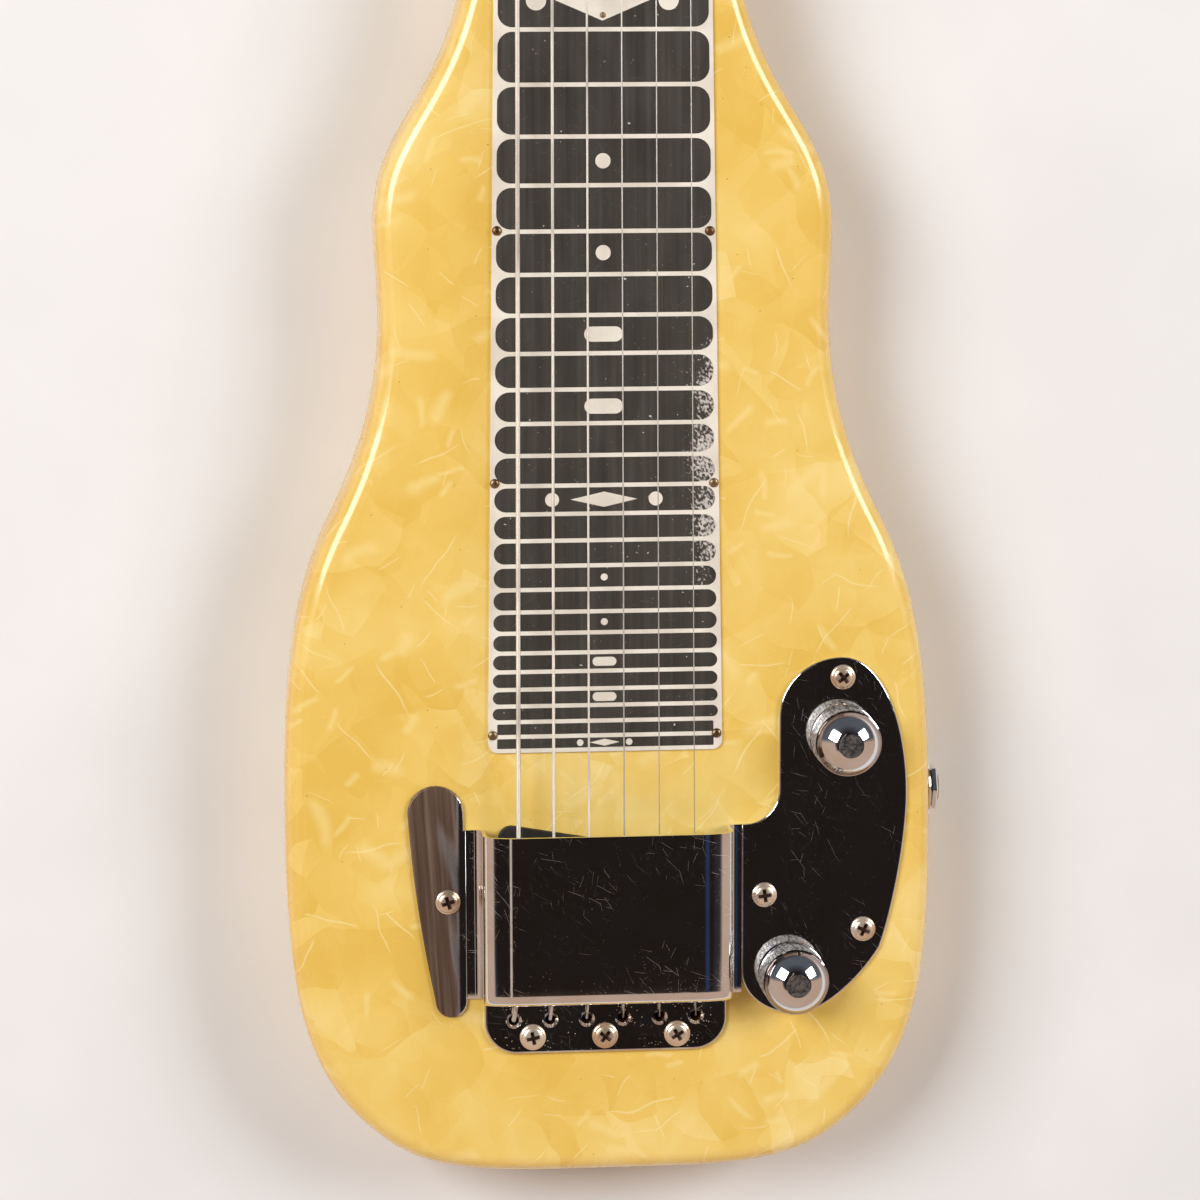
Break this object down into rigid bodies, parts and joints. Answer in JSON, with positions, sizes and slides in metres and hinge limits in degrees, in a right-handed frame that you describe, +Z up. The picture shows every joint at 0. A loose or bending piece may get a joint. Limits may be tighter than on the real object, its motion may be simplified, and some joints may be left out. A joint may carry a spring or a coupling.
{
  "type": "lap steel guitar",
  "caption": "Solid-body lap steel guitar in yellow pearloid with a printed metal fretboard, chrome pickup cover, control knobs and geared tuners.",
  "frame": {"origin": "on the flat back, on the centre line of the fretboard, straight under the line where the strings break over the bridge", "axes": "+Y along the strings to the head, +X to the treble side with the controls, +Z up through the playing face"},
  "size_m": [0.2003, 0.7542, 0.0515],
  "materials": {
    "wood": "bare hardwood",
    "pearloid": "aged yellow pearloid sheet, polished",
    "board_metal": "satin, slightly worn",
    "chrome": "polished plate with fine scratches",
    "steel": "plated steel",
    "wire": "drawn and wound wire",
    "brass": "dull brass",
    "fibre": "dark vulcanised fibre",
    "copper": "enamelled copper wire",
    "magnet": "rough sintered bar",
    "capacitor": "waxed tube",
    "insulation": "cloth-covered wire",
    "button": "cream moulded plastic"
  },
  "bodies": {
    "instrument": {"body_core": "wood", "front_covering": "pearloid", "back_covering": "pearloid", "fretboard_plate": "board_metal", "nut": "brass", "bridge_plate": "chrome", "string_anchor_plate": "steel", "pickup_cover": "chrome", "cover_screw": "steel", "plate_screw_1": "steel", "plate_screw_2": "steel", "plate_screw_3": "steel", "bridge_screw_1": "steel", "bridge_screw_2": "steel", "bridge_screw_3": "steel", "pickup_bobbin": "fibre", "pickup_coil": "copper", "pickup_blade": "steel", "pickup_magnet": "magnet", "volume_pot": "steel", "volume_pot_nut": "brass", "tone_pot": "steel", "tone_pot_nut": "brass", "pickup_lead": "insulation", "jack_lead": "insulation", "pot_link_lead": "insulation", "tone_capacitor": "capacitor", "jack_washer": "chrome", "jack_nut": "chrome", "jack_socket": "brass", "bass_tuner_strip": "steel", "treble_tuner_strip": "steel", "string_1": "wire", "string_2": "wire", "string_3": "wire", "string_4": "wire", "string_5": "wire", "string_6": "wire"},
    "volume_control": {"volume_knob": "chrome", "volume_shaft": "brass"},
    "tone_control": {"tone_knob": "chrome", "tone_shaft": "brass"},
    "key_1": {"tuner_key_1": "steel", "tuner_button_1": "button"},
    "post_1": {"tuner_post_1": "steel"},
    "key_2": {"tuner_key_2": "steel", "tuner_button_2": "button"},
    "post_2": {"tuner_post_2": "steel"},
    "key_3": {"tuner_key_3": "steel", "tuner_button_3": "button"},
    "post_3": {"tuner_post_3": "steel"},
    "key_4": {"tuner_key_4": "steel", "tuner_button_4": "button"},
    "post_4": {"tuner_post_4": "steel"},
    "key_5": {"tuner_key_5": "steel", "tuner_button_5": "button"},
    "post_5": {"tuner_post_5": "steel"},
    "key_6": {"tuner_key_6": "steel", "tuner_button_6": "button"},
    "post_6": {"tuner_post_6": "steel"}
  },
  "joints": [
    {"name": "volume_turn", "type": "hinge", "parent": "instrument", "child": "volume_control", "pos_m": [0.0722, 0.0736, 0.0372], "axis": [0, 0, 1], "range_deg": [-150, 150]},
    {"name": "tone_turn", "type": "hinge", "parent": "instrument", "child": "tone_control", "pos_m": [0.0566, 0.0006, 0.0372], "axis": [0, 0, 1], "range_deg": [-150, 150]},
    {"name": "key_1_turn", "type": "hinge", "parent": "instrument", "child": "key_1", "pos_m": [-0.0275, 0.6049, 0.0101], "axis": [-1, 0, 0], "continuous": true},
    {"name": "post_1_turn", "type": "hinge", "parent": "instrument", "child": "post_1", "pos_m": [-0.0275, 0.598, 0.0101], "axis": [0, 0, 1], "continuous": true},
    {"name": "key_2_turn", "type": "hinge", "parent": "instrument", "child": "key_2", "pos_m": [-0.0275, 0.6389, 0.0101], "axis": [-1, 0, 0], "continuous": true},
    {"name": "post_2_turn", "type": "hinge", "parent": "instrument", "child": "post_2", "pos_m": [-0.0275, 0.632, 0.0101], "axis": [0, 0, 1], "continuous": true},
    {"name": "key_3_turn", "type": "hinge", "parent": "instrument", "child": "key_3", "pos_m": [-0.0275, 0.6729, 0.0101], "axis": [-1, 0, 0], "continuous": true},
    {"name": "post_3_turn", "type": "hinge", "parent": "instrument", "child": "post_3", "pos_m": [-0.0275, 0.666, 0.0101], "axis": [0, 0, 1], "continuous": true},
    {"name": "key_4_turn", "type": "hinge", "parent": "instrument", "child": "key_4", "pos_m": [0.0275, 0.6591, 0.0101], "axis": [1, 0, 0], "continuous": true},
    {"name": "post_4_turn", "type": "hinge", "parent": "instrument", "child": "post_4", "pos_m": [0.0275, 0.666, 0.0101], "axis": [0, 0, 1], "continuous": true},
    {"name": "key_5_turn", "type": "hinge", "parent": "instrument", "child": "key_5", "pos_m": [0.0275, 0.6251, 0.0101], "axis": [1, 0, 0], "continuous": true},
    {"name": "post_5_turn", "type": "hinge", "parent": "instrument", "child": "post_5", "pos_m": [0.0275, 0.632, 0.0101], "axis": [0, 0, 1], "continuous": true},
    {"name": "key_6_turn", "type": "hinge", "parent": "instrument", "child": "key_6", "pos_m": [0.0275, 0.5911, 0.0101], "axis": [1, 0, 0], "continuous": true},
    {"name": "post_6_turn", "type": "hinge", "parent": "instrument", "child": "post_6", "pos_m": [0.0275, 0.598, 0.0101], "axis": [0, 0, 1], "continuous": true}
  ],
  "couplings": [
    {"joint": "post_1_turn", "follows": "key_1_turn", "ratio": -0.071429},
    {"joint": "post_2_turn", "follows": "key_2_turn", "ratio": -0.071429},
    {"joint": "post_3_turn", "follows": "key_3_turn", "ratio": -0.071429},
    {"joint": "post_4_turn", "follows": "key_4_turn", "ratio": -0.071429},
    {"joint": "post_5_turn", "follows": "key_5_turn", "ratio": -0.071429},
    {"joint": "post_6_turn", "follows": "key_6_turn", "ratio": -0.071429}
  ]
}
